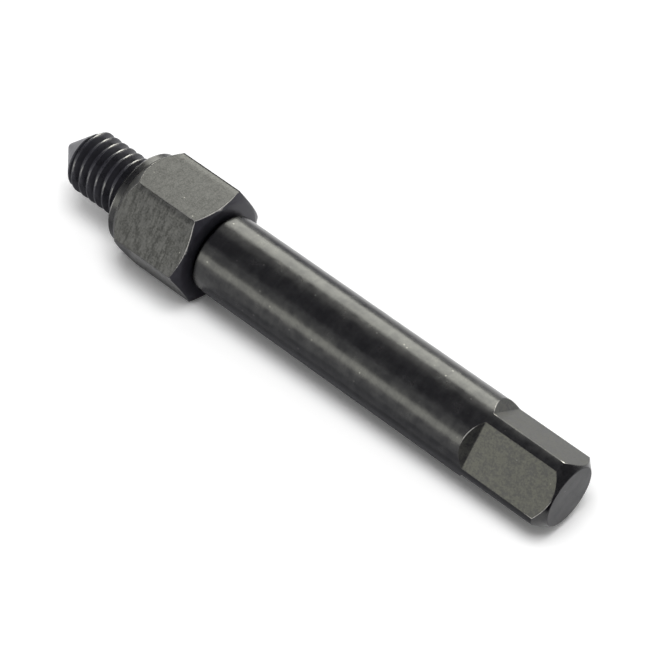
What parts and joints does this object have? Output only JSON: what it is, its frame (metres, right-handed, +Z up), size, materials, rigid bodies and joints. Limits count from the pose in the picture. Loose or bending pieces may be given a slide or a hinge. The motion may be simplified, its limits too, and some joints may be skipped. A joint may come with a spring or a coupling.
{
  "type": "threaded insert installation tool",
  "caption": "Blackened steel mandrel with a square drive, a round shank and a pointed threaded stud that carries a hexagonal lock nut, for driving threaded inserts.",
  "frame": {"origin": "under the middle of the tool's bounding box, on the surface that it lies on", "axes": "+X along the tool towards the square drive, level; +Z up; the tool's own axis slopes down towards +X by 1.713 degrees as it lies on a flat of the nut and a corner of the square"},
  "size_m": [0.0768, 0.015, 0.0133],
  "materials": {
    "blackened_bar": "black oxide over turned and milled steel, satin",
    "blackened_nut": "black oxide over machined hexagon steel, satin with a fine grain across the flats"
  },
  "bodies": {
    "mandrel": {"mandrel": "blackened_bar"},
    "lock_nut": {"lock_nut": "blackened_nut"}
  },
  "joints": [
    {"name": "lock_nut_turn", "type": "hinge", "parent": "mandrel", "child": "lock_nut", "pos_m": [-0.01374, 0, 0.00649], "axis": [-0.9996, 0, 0.0299], "range_deg": [0, 270]}
  ]
}
